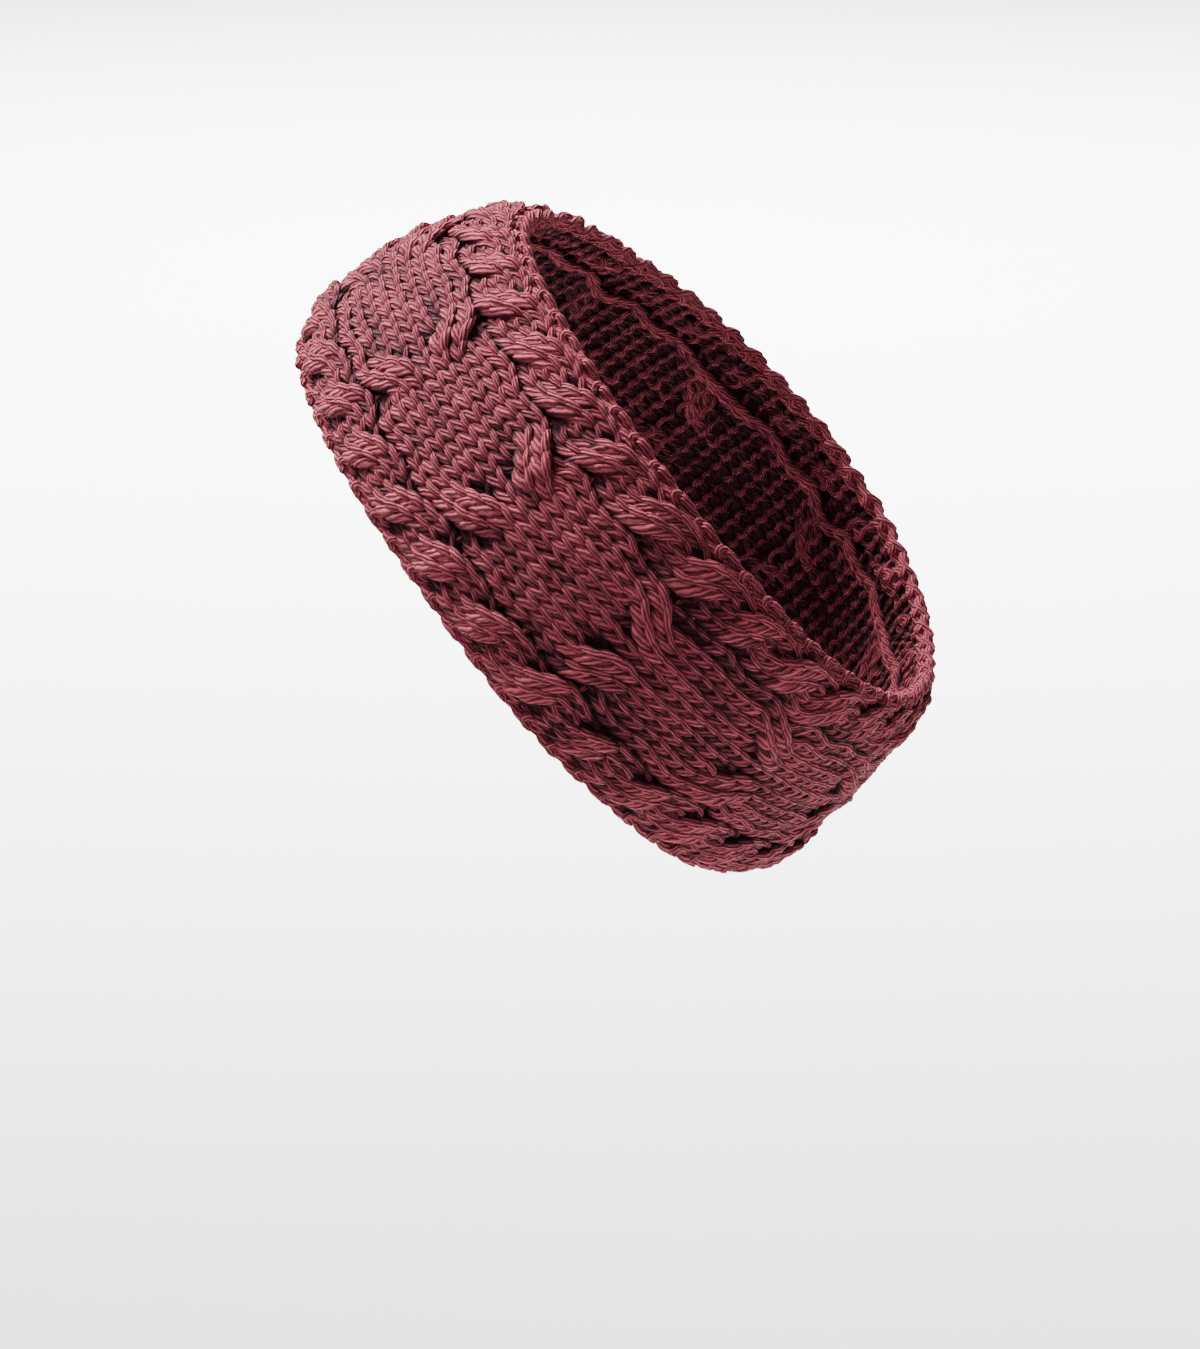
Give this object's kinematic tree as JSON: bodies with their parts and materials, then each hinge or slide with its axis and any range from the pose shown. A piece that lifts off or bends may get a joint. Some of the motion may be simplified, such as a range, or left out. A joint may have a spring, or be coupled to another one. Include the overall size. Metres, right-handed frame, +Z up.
{
  "type": "ear warmer headband",
  "caption": "Wide knitted ear warmer headband: one closed loop of thick cabled knit with ropes beside a horseshoe cable, in the form it has when worn.",
  "frame": {"origin": "centre of the head opening, half way between the band's two edges, where a head holds the band up", "axes": "+Z up and -Y to the wearer's front, +X to the wearer's left, with the loop leaning back: high at the brow, low at the nape"},
  "size_m": [0.1781, 0.1831, 0.1873],
  "materials": {
    "wool_yarn": "soft plied knitting yarn, matt with a slight halo"
  },
  "bodies": {
    "root": {"knit_band": "wool_yarn"}
  },
  "joints": []
}
